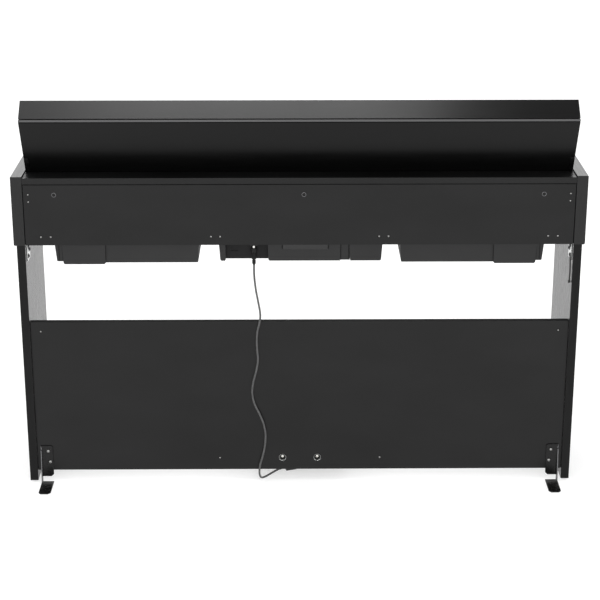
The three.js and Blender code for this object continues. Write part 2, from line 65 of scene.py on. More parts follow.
def behind(depth):
    """The Y of a place that is this far forward of the piano's rear face."""
    return REAR_Y - depth


# ---- camera -------------------------------------------------------------------------------
CAMERA_BACK = 3.40      # behind the rear face
CAMERA_SIDE = 0.0188
CAMERA_HEIGHT = 1.8237
CAMERA_PITCH = math.radians(17.463)
CAMERA_YAW = math.radians(0.447)
SENSOR = 36.0
LENS_PER_WIDTH = 2.5355
CAMERA_SHIFT_X = -0.005
CAMERA_SHIFT_Y = -0.18


def make_camera():
    """A camera behind the piano, a little above it, that looks down at it."""
    data = bpy.data.cameras.new("camera")
    data.sensor_width = SENSOR
    data.lens = LENS_PER_WIDTH * SENSOR
    data.shift_x = CAMERA_SHIFT_X
    data.shift_y = CAMERA_SHIFT_Y
    data.clip_end = 100
    camera = bpy.data.objects.new("camera", data)
    bpy.context.scene.collection.objects.link(camera)
    camera.location = (CAMERA_SIDE, REAR_Y + CAMERA_BACK, CAMERA_HEIGHT)
    look = Vector((
        -math.sin(CAMERA_YAW) * math.cos(CAMERA_PITCH),
        -math.cos(CAMERA_YAW) * math.cos(CAMERA_PITCH),
        -math.sin(CAMERA_PITCH),
    ))
    camera.rotation_euler = look.to_track_quat("-Z", "Y").to_euler()
    bpy.context.scene.camera = camera


# ---- mesh helpers -------------------------------------------------------------------------
def in_mm(points, start=0.0):
    """Pairs of a radius and a height in millimetres, with the heights measured from start."""
    return [(radius * MM, start + height * MM) for radius, height in points]


def finish_piece(name, bm, material, body=STAND, sharp=30):
    """Turns a bmesh into a named piece that rides on a body; sharp is its smoothing angle."""
    bmesh.ops.recalc_face_normals(bm, faces=bm.faces)
    mesh = bpy.data.meshes.new(name)
    bm.to_mesh(mesh)
    bm.free()
    mesh.shade_smooth()
    mesh.set_sharp_from_angle(angle=math.radians(sharp))
    mesh.materials.append(material)
    piece = bpy.data.objects.new(name, mesh)
    bpy.context.scene.collection.objects.link(piece)
    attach(piece, body)
    return piece


def round_edges(bm, edges, width, segments, profile=0.6):
    """Rounds edges; the profile says how full the round is."""
    bmesh.ops.bevel(
        bm, geom=list(edges), offset=width, segments=segments, profile=profile, affect="EDGES")


def add_box(bm, low, high, bevel):
    """A box between two corners, with rounded edges."""
    made = bmesh.ops.create_cube(bm, size=1.0)
    verts = made["verts"]
    size = Vector(high) - Vector(low)
    middle = (Vector(high) + Vector(low)) / 2
    for v in verts:
        v.co = Vector((v.co.x * size.x, v.co.y * size.y, v.co.z * size.z)) + middle
    round_edges(bm, {e for v in verts for e in v.link_edges}, bevel, 2)


def add_prism(bm, points, start, end, bevel, segments=2, only_top=False):
    """An outline of points that is moved from start to end, with rounded edges."""
    base = [bm.verts.new(Vector(p) + Vector(start)) for p in points]
    top = [bm.verts.new(Vector(p) + Vector(end)) for p in points]
    faces = [bm.faces.new(base), bm.faces.new(list(reversed(top)))]
    count = len(points)
    for i in range(count):
        faces.append(bm.faces.new([base[(i + 1) % count], base[i], top[i], top[(i + 1) % count]]))
    bmesh.ops.recalc_face_normals(bm, faces=faces)
    edges = {e for f in faces for e in f.edges}
    if only_top:
        rim = set(top)
        edges = {e for e in edges if e.verts[0] in rim and e.verts[1] in rim}
    round_edges(bm, edges, bevel, segments)


def add_circle(bm, radius, height, place, turn, sides):
    """One ring of corners round a turned shape's axis."""
    ring = []
    for i in range(sides):
        angle = 2 * math.pi * i / sides
        point = Vector((radius * math.cos(angle), radius * math.sin(angle), height))
        ring.append(bm.verts.new(turn @ point + Vector(place)))
    return ring


def add_lathe(bm, profile, place, sides):
    """An upright turned shape: profile is radius and height, from axis to axis."""
    upright = Matrix.Identity(3)
    rings = []
    for radius, height in profile:
        rings.append(add_circle(bm, radius, height, place, upright, sides if radius else 1))
    for below, above in zip(rings, rings[1:]):
        for i in range(sides):
            j = (i + 1) % sides
            if len(below) == 1:
                bm.faces.new([below[0], above[i], above[j]])
            elif len(above) == 1:
                bm.faces.new([below[i], below[j], above[0]])
            else:
                bm.faces.new([below[i], below[j], above[j], above[i]])


def add_screw(bm, place, normal, radius, height, drive=0.62):
    """A pan-head screw with a cross recess, its head standing out along the normal."""
    rings, sides = 9, 32
    turn = normal.to_track_quat("Z", "Y").to_matrix()
    arm_half_width = 0.17   # a share of the head's radius, as the drive is
    cross_depth = 0.62      # a share of the head's height
    roundness = 2.6
    grid = []
    for ring in range(rings + 1):
        share = ring / rings
        row = []
        for i in range(sides):
            angle = 2 * math.pi * i / sides
            x, y = share * math.cos(angle), share * math.sin(angle)
            z = height * math.sqrt(max(0.0, 1 - share ** roundness))
            in_cross = min(abs(x), abs(y)) < arm_half_width and max(abs(x), abs(y)) < drive
            if in_cross:
                z -= cross_depth * height
            row.append(bm.verts.new(turn @ Vector((x * radius, y * radius, z)) + Vector(place)))
            if ring == 0:
                break
        grid.append(row)
    for i in range(sides):
        j = (i + 1) % sides
        bm.faces.new([grid[0][0], grid[1][i], grid[1][j]])
        for ring in range(1, rings):
            bm.faces.new([grid[ring][i], grid[ring + 1][i], grid[ring + 1][j], grid[ring][j]])
    bm.faces.new(list(reversed(grid[rings])))


def add_ring(bm, profile, place, up):
    """A turned ring with a closed profile, whose axis is the vector up."""
    sides = 32
    turn = up.to_track_quat("Z", "Y").to_matrix()
    rings = [add_circle(bm, radius, height, place, turn, sides) for radius, height in profile]
    for k, ring in enumerate(rings):
        after = rings[(k + 1) % len(rings)]
        for i in range(sides):
            j = (i + 1) % sides
            bm.faces.new([ring[i], ring[j], after[j], after[i]])


# ---- cords --------------------------------------------------------------------------------
CORD_DIAMETER = 5 * MM
# The pedal lead's centreline, from the plug down to the gland: X, depth and height.
CORD_ROUTE = [
    (0.1095, 0.028, 0.563), (0.1096, 0.027, 0.551), (0.109, 0.0245, 0.533), (0.1055, 0.018, 0.503),
    (0.0995, 0.010, 0.472), (0.0956, 0.0045, 0.450), (0.0952, 0.0015, 0.436), (0.098, 0.0009, 0.420),
    (0.1023, 0.0007, 0.401), (0.104, 0.0006, 0.378), (0.103, 0.0006, 0.350), (0.1016, 0.0006, 0.327),
    (0.106, 0.0006, 0.298), (0.1134, 0.0006, 0.268), (0.1163, 0.0004, 0.240), (0.1115, 0.0, 0.212),
    (0.099, -0.0005, 0.183), (0.0895, -0.001, 0.158), (0.0848, -0.0015, 0.130), (0.0865, -0.002, 0.097),
    (0.093, -0.0024, 0.066), (0.0985, -0.0028, 0.046), (0.1004, -0.003, 0.030), (0.0998, -0.0018, 0.018),
    (0.097, 0.0025, 0.0092), (0.092, 0.0095, 0.0048), (0.084, 0.0175, 0.004), (0.074, 0.0255, 0.0062),
    (0.063, 0.0325, 0.0096), (0.052, 0.038, 0.0132), (0.0415, 0.0415, 0.0166),
]


def smooth_line(points):
    """A centripetal Catmull-Rom curve through the points, as a dense list of places."""
    steps = 10
    ends = [points[0] * 2 - points[1], *points, points[-1] * 2 - points[-2]]
    line = []
    for i in range(len(points) - 1):
        p = ends[i:i + 4]
        t = [0.0]
        for a, b in zip(p, p[1:]):
            t.append(t[-1] + max((b - a).length, 1e-9) ** 0.5)
        for step in range(steps):
            u = t[1] + (t[2] - t[1]) * step / steps
            a1 = p[0].lerp(p[1], (u - t[0]) / (t[1] - t[0]))
            a2 = p[1].lerp(p[2], (u - t[1]) / (t[2] - t[1]))
            a3 = p[2].lerp(p[3], (u - t[2]) / (t[3] - t[2]))
            b1 = a1.lerp(a2, (u - t[0]) / (t[2] - t[0]))
            b2 = a2.lerp(a3, (u - t[1]) / (t[3] - t[1]))
            line.append(b1.lerp(b2, (u - t[1]) / (t[2] - t[1])))
    line.append(points[-1])
    return line


def ribs(count, start, pitch, crest, root, levels, taper=0.0):
    """A ribbed stretch of a profile. The levels of a rib are its crest's end and its root's ends."""
    points = []
    for number in range(count):
        low = start + number * pitch
        radius = crest - number * taper
        crest_end, root_start, root_end = (low + level for level in levels)
        points += [(radius, low), (radius, crest_end), (root, root_start), (root, root_end)]
    return points


def make_cord(materials):
    """The pedal lead from its plug down to the gland, with the plug and the gland's sleeve."""
    places = [Vector((x, behind(depth), z)) for x, depth, z in CORD_ROUTE]
    line = smooth_line(places)
    curve = bpy.data.curves.new("pedal_lead", "CURVE")
    curve.dimensions = "3D"
    curve.bevel_depth = CORD_DIAMETER / 2
    curve.bevel_resolution = 4
    spline = curve.splines.new("POLY")
    spline.points.add(len(line) - 1)
    for point, place in zip(spline.points, line):
        point.co = (*place, 1.0)
    spline.use_smooth = True
    curve.materials.append(materials["cord"])
    lead = bpy.data.objects.new("pedal_lead", curve)
    bpy.context.scene.collection.objects.link(lead)
    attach(lead, STAND)
    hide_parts("pedal_cord")
    plug_parts = make_plug(materials)
    make_gland_sleeve(materials, places[-1], places[-2] - places[-1])


def make_plug(materials):
    """The plug: a ribbed relief round the lead, a body with grooves to grip, and a bright collar."""
    low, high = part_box("pedal_plug")
    axis = ((low.x + high.x) / 2, (low.y + high.y) / 2, 0)
    relief_height = 14
    collar_height = 7
    body_low = low.z + relief_height * MM
    body_high = high.z - collar_height * MM
    body_height = (body_high - body_low) / MM

    bm = bmesh.new()
    profile = [(0, 0), (4.6, 0), (5.4, 1)]
    profile += ribs(4, 4, 3.2, 5.8, 5.3, (1.8, 2.2, 2.8))
    profile += [(7.0, 19), (7.1, body_height - 2), (6.2, body_height), (0, body_height)]
    add_lathe(bm, in_mm(profile, body_low), axis, 32)
    body = finish_piece("pedal_plug_body", bm, materials["grip"])
    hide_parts("pedal_plug")

    bm = bmesh.new()
    profile = [(0, 0), (3.4, 0), (3.4, collar_height - 0.6), (3.0, collar_height), (0, collar_height)]
    add_lathe(bm, in_mm(profile, body_high), axis, 24)
    collar = finish_piece("pedal_plug_collar", bm, materials["nickel"])

    bm = bmesh.new()
    profile = [(0, 0), (2.7, 0), (3.6, 2.4)]
    profile += ribs(3, 3.2, 3, 4.4, 3.8, (1.9, 2.2, 2.7))
    profile += [(3.2, relief_height - 1), (3.2, relief_height), (0, relief_height)]
    add_lathe(bm, in_mm(profile, low.z), axis, 24)
    relief = finish_piece("pedal_plug_relief", bm, materials["grip"])
    return [body, collar, relief]


def make_gland_sleeve(materials, end, way):
    """The ribbed rubber sleeve that guides the lead into its gland."""
    bm = bmesh.new()
    profile = [(0, -2), (4.4, -2), (4.4, 1)]
    profile += ribs(3, 2.4, 2.6, 4.1, 3.1, (1.4, 1.7, 2.3), 0.35)
    profile += [(2.8, 11), (0, 11)]
    add_lathe(bm, in_mm(profile), (0, 0, 0), 24)
    turn = way.to_track_quat("Z", "Y").to_matrix().to_4x4()
    bm.transform(Matrix.Translation(end) @ turn)
    finish_piece("gland_sleeve", bm, materials["rubber"])


# ---- material helpers ---------------------------------------------------------------------
class Finish:
    """One node material with a Principled shader, and short ways to add to it."""

    def __init__(self, name, color, roughness, metallic=0.0, **constants):
        self.material = bpy.data.materials.new(name)
        self.material.use_nodes = True
        self.nodes = self.material.node_tree.nodes
        self.links = self.material.node_tree.links
        self.shader = self.nodes["Principled BSDF"]
        self.shader.inputs["Base Color"].default_value = (*color, 1)
        self.shader.inputs["Roughness"].default_value = roughness
        self.shader.inputs["Metallic"].default_value = metallic
        for socket, value in constants.items():
            self.shader.inputs[socket.replace("_", " ")].default_value = value
        self.place = self.nodes.new("ShaderNodeTexCoord").outputs["Object"]
        self.last_bump = None

    def noise(self, scale, detail, roughness, stretch=(1, 1, 1), distortion=0.0):
        """Smooth noise in the piece's own coordinates; a larger stretch makes it finer that way."""
        mapping = self.nodes.new("ShaderNodeMapping")
        mapping.inputs["Scale"].default_value = stretch
        self.links.new(self.place, mapping.inputs["Vector"])
        texture = self.nodes.new("ShaderNodeTexNoise")
        texture.inputs["Scale"].default_value = scale
        texture.inputs["Detail"].default_value = detail
        texture.inputs["Roughness"].default_value = roughness
        texture.inputs["Distortion"].default_value = distortion
        self.links.new(mapping.outputs["Vector"], texture.inputs["Vector"])
        return texture.outputs["Fac"]

    def cells(self, scale, feature="F1"):
        """Cells, as the distance from their middles or from their edges."""
        texture = self.nodes.new("ShaderNodeTexVoronoi")
        texture.feature = feature
        texture.inputs["Scale"].default_value = scale
        self.links.new(self.place, texture.inputs["Vector"])
        return texture.outputs["Distance"]

    def remap(self, value, low, high, out_low, out_high):
        """Carries the range low to high over to another range, and stops at its ends."""
        node = self.nodes.new("ShaderNodeMapRange")
        node.inputs["From Min"].default_value = low
        node.inputs["From Max"].default_value = high
        node.inputs["To Min"].default_value = out_low
        node.inputs["To Max"].default_value = out_high
        self.links.new(value, node.inputs["Value"])
        return node.outputs["Result"]

    def spread(self, value, low=0.3, high=0.7):
        """The middle of a noise, stretched to the whole range 0 to 1."""
        return self.remap(value, low, high, 0, 1)

    def math(self, operation, a, b):
        """A sum or product of two values, each a socket or a number."""
        node = self.nodes.new("ShaderNodeMath")
        node.operation = operation
        for socket, value in zip(node.inputs, (a, b)):
            if isinstance(value, (int, float)):
                socket.default_value = value
            else:
                self.links.new(value, socket)
        return node.outputs["Value"]

    def color_between(self, factor, dark, light):
        node = self.nodes.new("ShaderNodeMix")
        node.data_type = "RGBA"
        node.inputs["A"].default_value = (*dark, 1)
        node.inputs["B"].default_value = (*light, 1)
        self.links.new(factor, node.inputs["Factor"])
        self.links.new(node.outputs["Result"], self.shader.inputs["Base Color"])

    def roughness_between(self, factor, low, high):
        roughness = self.remap(factor, 0.3, 0.7, low, high)
        self.links.new(roughness, self.shader.inputs["Roughness"])

    def bump(self, height, distance, strength):
        """Raises the surface by a height, on top of the bumps that it has already."""
        node = self.nodes.new("ShaderNodeBump")
        node.inputs["Distance"].default_value = distance
        node.inputs["Strength"].default_value = strength
        self.links.new(height, node.inputs["Height"])
        if self.last_bump:
            self.links.new(self.last_bump, node.inputs["Normal"])
        self.last_bump = node.outputs["Normal"]
        self.links.new(self.last_bump, self.shader.inputs["Normal"])


def grey(value):
    """A neutral colour."""
    return (value, value, value)


def grain_finish(name, along, sheen, rough):
    """Black foil with an embossed wood grain that runs along one axis."""
    finish = Finish(name, grey(0.0025), rough, IOR=sheen)
    long, short = 9.0, 420.0
    fine_long, fine_short = 30.0, 1500.0
    stretch = [short] * 3
    stretch["XYZ".index(along)] = long
    fine = [fine_short] * 3
    fine["XYZ".index(along)] = fine_long
    bands = finish.noise(1.0, 5, 0.62, stretch, 0.4)
    pores = finish.noise(1.0, 2, 0.5, fine)
    pore_mask = finish.spread(pores, 0.36, 0.5)
    shallow_bands = finish.math("MULTIPLY", bands, 0.6)
    shallow_pores = finish.math("MULTIPLY", pore_mask, 0.4)
    relief = finish.math("ADD", shallow_bands, shallow_pores)
    tone = finish.spread(relief, 0.3, 0.8)
    finish.color_between(tone, grey(0.0015), grey(0.0045))
    finish.roughness_between(bands, rough - 0.05, rough + 0.07)
    finish.bump(relief, 0.00016, 0.75)
    return finish.material


def edge_finish():
    """Matt foil on a board's edge, with the faint lines of the board under it."""
    finish = Finish("matt_edge", grey(0.006), 0.95, IOR=1.30)
    lines = finish.noise(1.0, 3, 0.5, (12, 900, 900))
    finish.color_between(lines, grey(0.004), grey(0.008))
    finish.roughness_between(lines, 0.92, 1.0)
    finish.bump(lines, 0.00004, 0.5)
    return finish.material


def board_finish():
    """Smooth satin foil on board, with a faint orange peel and soft unevenness."""
    finish = Finish("satin_board", grey(0.0025), 0.36, IOR=1.345)
    cloud = finish.noise(5.0, 4, 0.55, (1, 1, 2.2))
    peel = finish.noise(260.0, 3, 0.5)
    speck = finish.noise(1900.0, 2, 0.5)
    tone = finish.spread(cloud)
    finish.color_between(tone, grey(0.0018), (0.0036, 0.0036, 0.0037))
    wear = finish.math("ADD", finish.math("MULTIPLY", cloud, 0.6), finish.math("MULTIPLY", speck, 0.4))
    finish.roughness_between(wear, 0.31, 0.41)
    finish.bump(peel, 0.00005, 0.5)
    finish.bump(speck, 0.00002, 0.5)
    return finish.material


def lid_finish(name, sheen):
    """The lid's foil: smoother than the arms, with a fine grain along its length."""
    finish = Finish(name, grey(0.0012), 0.27, IOR=sheen)
    grain = finish.noise(1.0, 5, 0.6, (7, 480, 480), 0.3)
    fine = finish.noise(1.0, 2, 0.5, (26, 1700, 1700))
    cloud = finish.noise(3.0, 3, 0.5)
    tone = finish.spread(grain)
    finish.color_between(tone, grey(0.0006), grey(0.0020))
    wear = finish.math("ADD", finish.math("MULTIPLY", grain, 0.5), finish.math("MULTIPLY", cloud, 0.5))
    finish.roughness_between(wear, 0.27, 0.36)
    finish.bump(grain, 0.00007, 0.5)
    finish.bump(fine, 0.00003, 0.5)
    return finish.material


def lid_fold_highlight_trim_finish():
    """Dark grey plastic trim along the lid's fold, with fine drawn lines; its grey, far lighter than the
    lid, partly stands in for the highlight along the fold: a painted highlight.
    """
    finish = Finish("fold_trim_and_painted_highlight", (0.035, 0.035, 0.036), 0.34)
    lines = finish.noise(1.0, 3, 0.6, (14, 1200, 1200))
    finish.color_between(finish.spread(lines), (0.029, 0.029, 0.030), (0.041, 0.041, 0.042))
    finish.roughness_between(lines, 0.30, 0.40)
    finish.bump(lines, 0.00003, 0.5)
    return finish.material


def case_finish(name, sheen):
    """Black moulded plastic with a fine spark-eroded texture."""
    finish = Finish(name, (0.006, 0.006, 0.0062), 0.42, IOR=sheen)
    pits = finish.cells(1500.0)
    swirl = finish.noise(700.0, 3, 0.6)
    cloud = finish.noise(9.0, 3, 0.5)
    share = finish.spread(cloud)
    finish.color_between(share, (0.0045, 0.0045, 0.0047), (0.0075, 0.0075, 0.0077))
    finish.roughness_between(swirl, 0.36, 0.48)
    finish.bump(pits, 0.00006, 0.5)
    finish.bump(swirl, 0.00005, 0.5)
    return finish.material


def enamel_finish():
    """Black enamel on sheet steel, a little thick at its edges."""
    finish = Finish("black_enamel", grey(0.002), 0.26, IOR=1.36)
    peel = finish.noise(420.0, 3, 0.55)
    dust = finish.noise(60.0, 5, 0.7)
    share = finish.spread(dust, 0.35, 0.7)
    finish.color_between(share, grey(0.0010), grey(0.0028))
    finish.roughness_between(dust, 0.20, 0.32)
    finish.bump(peel, 0.00006, 0.6)
    return finish.material


def metal_finish(name, color, rough, brush=(900, 900, 40), tint=0.12):
    """Bare or plated metal with fine drawn lines and a slight mottling."""
    finish = Finish(name, color, rough, 1.0)
    lines = finish.noise(1.0, 3, 0.6, brush)
    mottle = finish.noise(180.0, 4, 0.6)
    dark = tuple(c * (1 - tint) for c in color)
    finish.color_between(finish.spread(mottle), dark, color)
    finish.roughness_between(mottle, rough * 0.8, rough * 1.3)
    finish.bump(lines, 0.00002, 0.5)
    return finish.material


def white_key_finish():
    """Cream moulded keys with a satin gloss and faint lines along their length."""
    finish = Finish("white_key", (0.60, 0.585, 0.54), 0.26, IOR=1.42)
    cloud = finish.noise(24.0, 3, 0.5)
    grain = finish.noise(1.0, 3, 0.55, (900, 35, 900))
    finish.color_between(finish.spread(cloud), (0.57, 0.555, 0.51), (0.62, 0.605, 0.56))
    finish.roughness_between(grain, 0.22, 0.34)
    finish.bump(grain, 0.00001, 0.4)
    return finish.material


def black_key_finish():
    """Matt black keys with a fine grain along their length."""
    finish = Finish("black_key", (0.012, 0.012, 0.013), 0.42)
    grain = finish.noise(1.0, 4, 0.6, (1600, 60, 1600))
    share = finish.spread(grain, 0.35, 0.65)
    finish.color_between(share, (0.008, 0.008, 0.009), (0.018, 0.018, 0.019))
    finish.roughness_between(grain, 0.34, 0.52)
    finish.bump(grain, 0.00005, 0.6)
    return finish.material


def rubber_finish():
    """Black rubber, a little dusty."""
    finish = Finish("black_rubber", grey(0.012), 0.7)
    dust = finish.noise(140.0, 5, 0.7)
    finish.color_between(finish.spread(dust, 0.35, 0.75), grey(0.009), (0.024, 0.024, 0.023))
    finish.roughness_between(dust, 0.6, 0.85)
    finish.bump(dust, 0.00012, 0.5)
    return finish.material


def grip_finish():
    """Deep black soft vinyl, as moulded round a plug."""
    finish = Finish("soft_vinyl", grey(0.004), 0.5, IOR=1.3)
    dust = finish.noise(240.0, 4, 0.6)
    finish.color_between(finish.spread(dust, 0.35, 0.75), grey(0.002), grey(0.007))
    finish.roughness_between(dust, 0.42, 0.6)
    finish.bump(dust, 0.00008, 0.5)
    return finish.material


def cord_finish():
    """A smooth flexible sheath, with slight waves from its twisted cores."""
    finish = Finish("cord_sheath", grey(0.05), 0.38)
    wave = finish.noise(70.0, 2, 0.4, (1, 1, 2.5))
    fine = finish.noise(900.0, 3, 0.6)
    finish.color_between(finish.spread(wave), grey(0.040), grey(0.062))
    finish.roughness_between(fine, 0.30, 0.44)
    finish.bump(wave, 0.00025, 0.5)
    finish.bump(fine, 0.00002, 0.5)
    return finish.material


def circuit_finish():
    """Green solder mask over copper tracks."""
    finish = Finish("solder_mask", (0.012, 0.09, 0.035), 0.32)
    tracks = finish.cells(160.0, "DISTANCE_TO_EDGE")
    mask = finish.spread(tracks, 0.05, 0.09)
    finish.color_between(mask, (0.02, 0.16, 0.06), (0.010, 0.075, 0.03))
    finish.roughness_between(mask, 0.28, 0.4)
    finish.bump(mask, 0.00004, 0.5)
    return finish.material


def felt_finish():
    """Red wool felt."""
    finish = Finish("red_felt", (0.16, 0.012, 0.014), 0.95, Sheen_Weight=0.4, Sheen_Roughness=0.5)
    fibres = finish.noise(1400.0, 6, 0.75)
    finish.color_between(finish.spread(fibres), (0.10, 0.007, 0.009), (0.21, 0.018, 0.02))
    finish.roughness_between(fibres, 0.85, 1.0)
    finish.bump(fibres, 0.0003, 0.8)
    return finish.material


def cone_finish():
    """A speaker's pressed paper cone."""
    finish = Finish("pressed_paper", (0.02, 0.02, 0.021), 0.8)
    fibres = finish.noise(600.0, 6, 0.7)
    finish.color_between(finish.spread(fibres), (0.014, 0.014, 0.015), (0.034, 0.034, 0.035))
    finish.roughness_between(fibres, 0.7, 0.9)
    finish.bump(fibres, 0.00015, 0.6)
    return finish.material


def make_materials():
    """Every finish, by a short name."""
    return {
        "grain_x": grain_finish("grain_along_x", "X", 1.42, 0.31),
        "grain_y": grain_finish("grain_along_y", "Y", 1.39, 0.31),
        "grain_z": grain_finish("grain_upright", "Z", 1.40, 0.25),
        "leg_edge": grain_finish("leg_edge_banding", "Z", 1.25, 0.35),
        "lid": lid_finish("lid_foil", 1.29),
        "lip": lid_finish("lid_front_foil", 1.40),
        # partly painted highlight: the fold trim is lighter than the lid to give the fold's bright band
        "trim": lid_fold_highlight_trim_finish(),
        "board": board_finish(),
        "edge": edge_finish(),
        "case": case_finish("moulded_plastic", 1.42),
        # painted sheen: the casing finish with a higher IOR, so the flanges and the cover plate stand
        # lighter
        "flange": case_finish("flange_painted_sheen", 1.46),
        # painted shade: the casing finish with a lower IOR, darkening the socket recess
        "recess": case_finish("shaded_recess", 1.27),
        # painted shade: the casing finish with an IOR near 1, darkening the speaker casings' ends
        "case_end": case_finish("shaded_ends", 1.06),
        "enamel": enamel_finish(),
        "zinc": metal_finish("bright_zinc", (0.66, 0.67, 0.66), 0.26),
        "dull_zinc": metal_finish("dull_zinc", (0.16, 0.16, 0.165), 0.42),
        "nickel": metal_finish("nickel", (0.80, 0.79, 0.76), 0.16, (60, 60, 60)),
        "screw": metal_finish("screw_steel", (0.42, 0.42, 0.41), 0.30, (60, 60, 60), 0.3),
        "black_screw": metal_finish("black_oxide", (0.11, 0.11, 0.115), 0.30, (60, 60, 60), 0.3),
        "brass": metal_finish("polished_brass", (0.78, 0.56, 0.24), 0.40, (900, 40, 900)),
        "white_key": white_key_finish(),
        "black_key": black_key_finish(),
        "rubber": rubber_finish(),
        "grip": grip_finish(),
        "cord": cord_finish(),
        "circuit": circuit_finish(),
        "felt": felt_finish(),
        "cone": cone_finish(),
    }


# ---- the CAD pieces keep their shapes and get their finishes --------------------------------
NODE_FINISHES = {
    "grain_z": ["leg_left", "leg_right"],
    "grain_y": ["side_arm_left", "side_arm_right"],
    "grain_x": ["key_slip", "cheek_block_left", "cheek_block_right"],
    "lid": ["lid_panel", "music_ledge"],
    "lip": ["lid_front"],
    "trim": ["lid_fold_strip"],
    "board": ["rear_panel", "top_board", "kick_board", "key_bed", "pedal_box"],
    "case": [
        "speaker_case_left", "speaker_case_right", "socket_case", "headphone_box", "cord_gland",
        "control_panel", "power_button", "volume_slider", "function_button_1", "function_button_2",
    ],
    "enamel": [
        "stabiliser_left", "stabiliser_right", "lid_pivot_left", "lid_pivot_right",
        "key_frame", "pedal_socket", "headphone_hanger",
    ],
    "zinc": ["leg_bracket_left", "leg_bracket_right"],
    "brass": ["soft_pedal", "sostenuto_pedal", "damper_pedal"],
    "rubber": ["leg_glide_left", "leg_glide_right", "pedal_adjuster"],
    "circuit": ["main_circuit_board"],
    "cone": ["speaker_left", "speaker_right"],
}
# How far edges are rounded, in millimetres: by finish, and by name where a piece differs.
EDGE_ROUNDING = {
    "grain_z": 0.8, "grain_y": 0.8, "grain_x": 1.0, "lid": 0.7, "lip": 0.7, "trim": 0.5,
    "board": 0.6, "case": 1.2, "enamel": 0.5, "zinc": 0.4, "brass": 1.6, "rubber": 0.8,
    "circuit": 0.2, "cone": 0.4,
}
ROUNDING_BY_NODE = {
    "speaker_case_left": 2.2, "speaker_case_right": 2.2, "socket_case": 1.2, "control_panel": 0.4,
    "power_button": 0.8, "function_button_1": 0.9, "function_button_2": 0.9, "volume_slider": 0.9,
    "cord_gland": 2.0, "lid_pivot_left": 0.4, "lid_pivot_right": 0.4,
    "stabiliser_left": 0.9, "stabiliser_right": 0.9,
}


def dress_nodes(materials):
    """Gives each CAD piece its finish, rounded edges and even shading."""
    for finish, names in NODE_FINISHES.items():
        for name in names:
            node = frame["nodes"][name]
            node.data.materials.clear()
            node.data.materials.append(materials[finish])
            weld = node.modifiers.new("weld", "WELD")
            weld.merge_threshold = 0.00001
            bevel = node.modifiers.new("round", "BEVEL")
            bevel.width = ROUNDING_BY_NODE.get(name, EDGE_ROUNDING[finish]) * MM
            bevel.segments = 3
            bevel.limit_method = "ANGLE"
            bevel.angle_limit = math.radians(32)
            bevel.use_clamp_overlap = True
            bevel.harden_normals = True
            flatten = node.modifiers.new("flat_faces", "WEIGHTED_NORMAL")
            flatten.weight = 90
            flatten.keep_sharp = False


def refinish_faces(name, material, chosen):
    """Gives a CAD piece one more finish, on the faces whose normal and place are chosen."""
    node = frame["nodes"][name]
    node.data.materials.append(material)
    number = len(node.data.materials) - 1
    for polygon in node.data.polygons:
        if chosen(polygon.normal, node.matrix_world @ polygon.center):
            polygon.material_index = number


def make_edge_matt(materials):
    """The kick board's top edge is banded with matt foil."""
    refinish_faces("kick_board", materials["edge"], lambda normal, place: normal.z > 0.9)


def make_leg_edges(materials):
    """The legs' narrow edges are banded with a duller foil than their faces."""
    for name in ("leg_left", "leg_right"):
        refinish_faces(name, materials["leg_edge"], lambda normal, place: abs(normal.y) > 0.9)


def make_flange_sheen(materials):
    """Painted sheen: the casings' top flanges get a copy of the casing finish that reflects more, so
    they stand lighter than the rest.
    """
    for name in ("speaker_case_left", "speaker_case_right", "socket_case"):
        flange_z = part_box(name)[1].z - 6.5 * MM

        def on_flange(normal, place):
            return normal.y > 0.9 and place.z > flange_z

        refinish_faces(name, materials["flange"], on_flange)


def make_recess_shaded(materials):
    """Painted shade: the floor of the socket casing's recess gets a copy of the casing finish that
    reflects less, so it stands darker than the blocks beside it.
    """
    recess_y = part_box("socket_case")[1].y - 12 * MM

    def in_recess(normal, place):
        return normal.y > 0.5 and place.y < recess_y

    refinish_faces("socket_case", materials["recess"], in_recess)


def make_case_ends_shaded(materials):
    """Painted shade: the speaker casings' end faces get a copy of the casing finish that reflects far
    less, so they stand darker than their backs.
    """
    for name in ("speaker_case_left", "speaker_case_right"):
        refinish_faces(name, materials["case_end"], lambda normal, place: abs(normal.x) > 0.7)


def make_fin_edge_highlights(materials):
    """Painted highlight: the rear feet's upright fins get a lighter metal finish on their rear edges,
    standing in for the light that their rounded edges catch.
    """
    fin_thickness = 2.7 * MM
    for name in ("stabiliser_left", "stabiliser_right"):
        low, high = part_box(name)
        fin_x = max(abs(low.x), abs(high.x)) - fin_thickness

        def on_fin_edge(normal, place):
            return normal.y > 0.9 and abs(place.x) > fin_x

        # painted highlight along each fin's rear edge
        refinish_faces(name, materials["dull_zinc"], on_fin_edge)


# ---- keyboard -----------------------------------------------------------------------------
WHITE_KEYS = 52
FIRST_IN_OCTAVE = 5     # the lowest key is an A, counted from C
# How far a black key stands off the joint below it, by the place of the white key before it.
BLACK_OFFSETS = {0: -2.5 * MM, 1: 2.5 * MM, 3: -3.5 * MM, 4: 0.0, 5: 3.5 * MM}
BLACK_WIDTH = 10.5 * MM
BLACK_LENGTH = 100 * MM
BESIDE_BLACK = BLACK_WIDTH / 2 + 1 * MM
GROUP_ENDS = [9, 16, 23, 30, 37, 44, 52]    # how many white keys there are up to each group's end
KEY_GAP = 1.0 * MM


def black_offset(white):
    """How far the black key to the right of a white key stands off their joint, or None."""
    if white < 0 or white >= WHITE_KEYS - 1:
        return None
    return BLACK_OFFSETS.get((white + FIRST_IN_OCTAVE) % 7)


